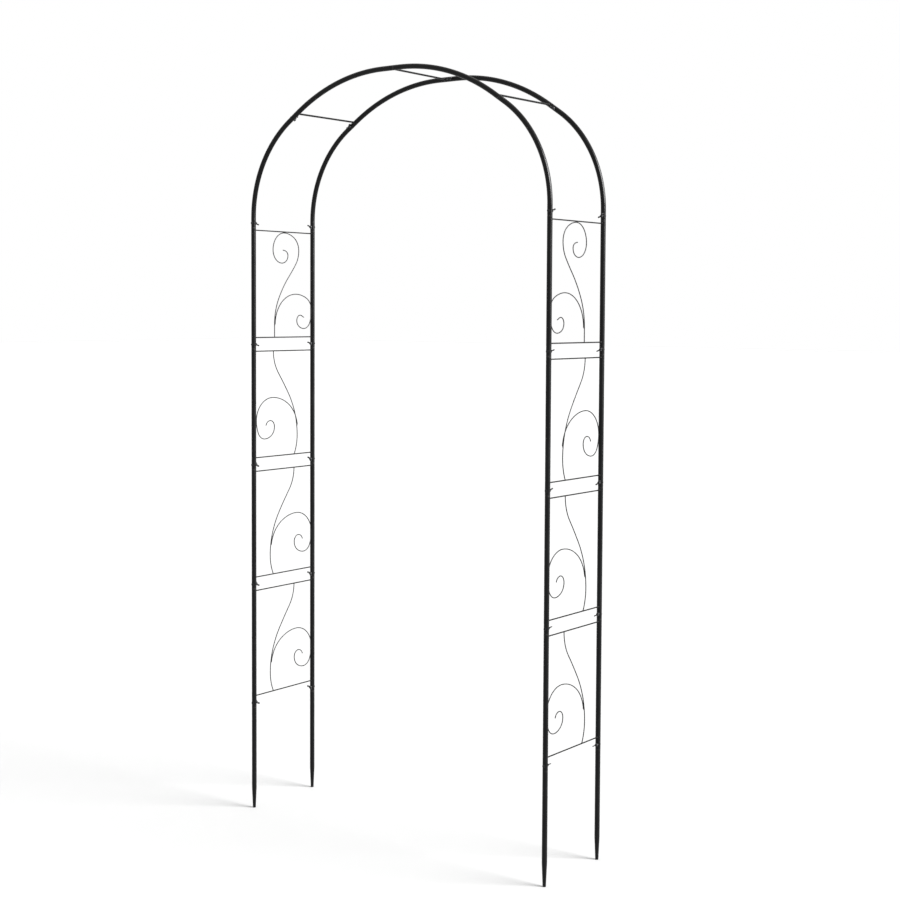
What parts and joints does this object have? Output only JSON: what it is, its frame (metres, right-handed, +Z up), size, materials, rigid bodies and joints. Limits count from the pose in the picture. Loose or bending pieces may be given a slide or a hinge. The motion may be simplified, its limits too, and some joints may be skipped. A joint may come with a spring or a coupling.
{
  "type": "garden trellis arch",
  "caption": "Walk-through garden arch of bolted black steel tubes, with scrolled wire side panels, crossbars over the top and tapered ground stakes.",
  "frame": {"origin": "on the ground plane at the stake tips, in the middle of the four legs", "axes": "+X across the walkway to the right leg, -Y the front face, +Z up"},
  "size_m": [1.2044, 0.3112, 2.442],
  "materials": {
    "tube": "satin black powder coat",
    "crossbar": "satin black powder coat",
    "scroll_wire": "satin black powder coat",
    "fasteners": "black coated, slightly duller"
  },
  "bodies": {
    "root": {"left_panel_1_front_tube": "tube", "left_panel_1_rear_tube": "tube", "left_panel_1_crossbars": "crossbar", "left_panel_1_stem_wire": "scroll_wire", "left_panel_1_branch_wire": "scroll_wire", "left_panel_2_front_tube": "tube", "left_panel_2_rear_tube": "tube", "left_panel_2_crossbars": "crossbar", "left_panel_2_stem_wire": "scroll_wire", "left_panel_2_branch_wire": "scroll_wire", "left_panel_3_front_tube": "tube", "left_panel_3_rear_tube": "tube", "left_panel_3_crossbars": "crossbar", "left_panel_3_stem_wire": "scroll_wire", "left_panel_3_branch_wire": "scroll_wire", "left_panel_4_front_tube": "tube", "left_panel_4_rear_tube": "tube", "left_panel_4_crossbars": "crossbar", "left_panel_4_stem_wire": "scroll_wire", "left_panel_4_branch_wire": "scroll_wire", "right_panel_1_front_tube": "tube", "right_panel_1_rear_tube": "tube", "right_panel_1_crossbars": "crossbar", "right_panel_1_stem_wire": "scroll_wire", "right_panel_1_branch_wire": "scroll_wire", "right_panel_2_front_tube": "tube", "right_panel_2_rear_tube": "tube", "right_panel_2_crossbars": "crossbar", "right_panel_2_stem_wire": "scroll_wire", "right_panel_2_branch_wire": "scroll_wire", "right_panel_3_front_tube": "tube", "right_panel_3_rear_tube": "tube", "right_panel_3_crossbars": "crossbar", "right_panel_3_stem_wire": "scroll_wire", "right_panel_3_branch_wire": "scroll_wire", "right_panel_4_front_tube": "tube", "right_panel_4_rear_tube": "tube", "right_panel_4_crossbars": "crossbar", "right_panel_4_stem_wire": "scroll_wire", "right_panel_4_branch_wire": "scroll_wire", "left_front_stake": "tube", "left_front_lower_arch_tube": "tube", "left_front_upper_arch_tube": "tube", "left_rear_stake": "tube", "left_rear_lower_arch_tube": "tube", "left_rear_upper_arch_tube": "tube", "right_front_stake": "tube", "right_front_lower_arch_tube": "tube", "right_front_upper_arch_tube": "tube", "right_rear_stake": "tube", "right_rear_lower_arch_tube": "tube", "right_rear_upper_arch_tube": "tube", "left_arch_crossbar": "crossbar", "top_arch_crossbar": "crossbar", "right_arch_crossbar": "crossbar", "front_bolts": "fasteners", "front_wing_nuts": "fasteners", "rear_bolts": "fasteners", "rear_wing_nuts": "fasteners"}
  },
  "joints": []
}
